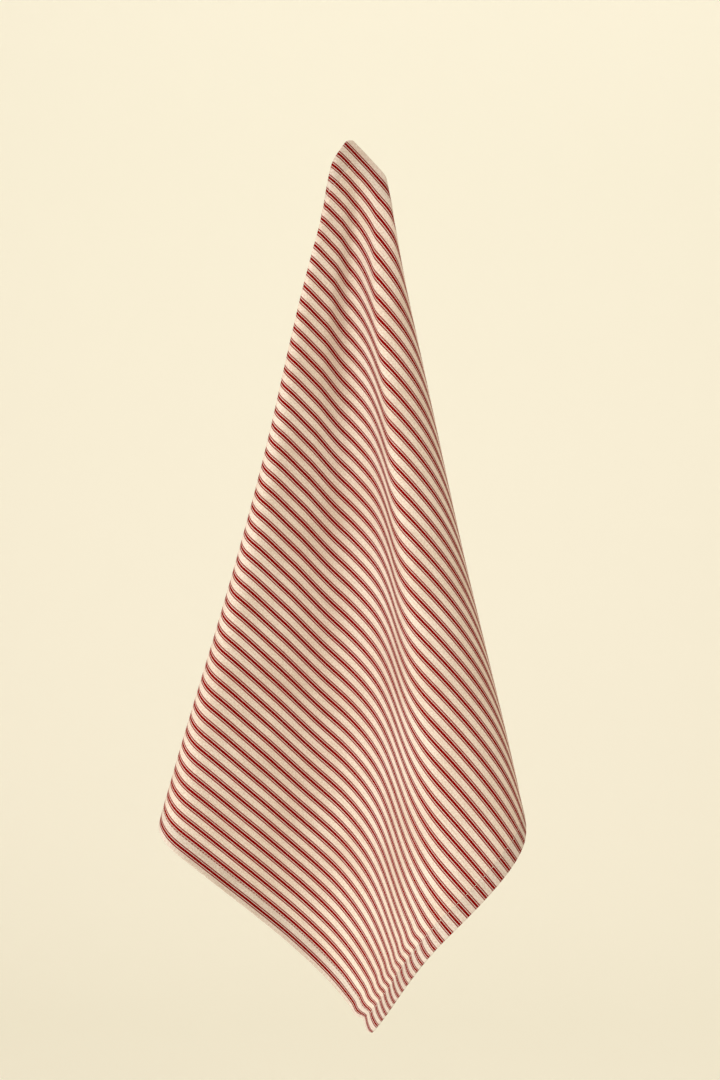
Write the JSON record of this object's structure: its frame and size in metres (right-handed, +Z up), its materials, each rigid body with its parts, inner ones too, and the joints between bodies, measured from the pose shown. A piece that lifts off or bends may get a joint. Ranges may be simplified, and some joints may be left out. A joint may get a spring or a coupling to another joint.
{
  "type": "cloth napkin",
  "caption": "Square woven cotton napkin with narrow hems and a woven ticking stripe, hanging in soft folds from one corner.",
  "frame": {"origin": "tip of the corner by which the napkin is held up", "axes": "+Z up, -Y towards the viewer, +X to the viewer's right"},
  "size_m": [0.2822, 0.2277, 0.7008],
  "materials": {
    "ticking": "matt cotton twill, cream with dark red warp stripes"
  },
  "bodies": {
    "root": {"napkin": "ticking"}
  },
  "joints": []
}
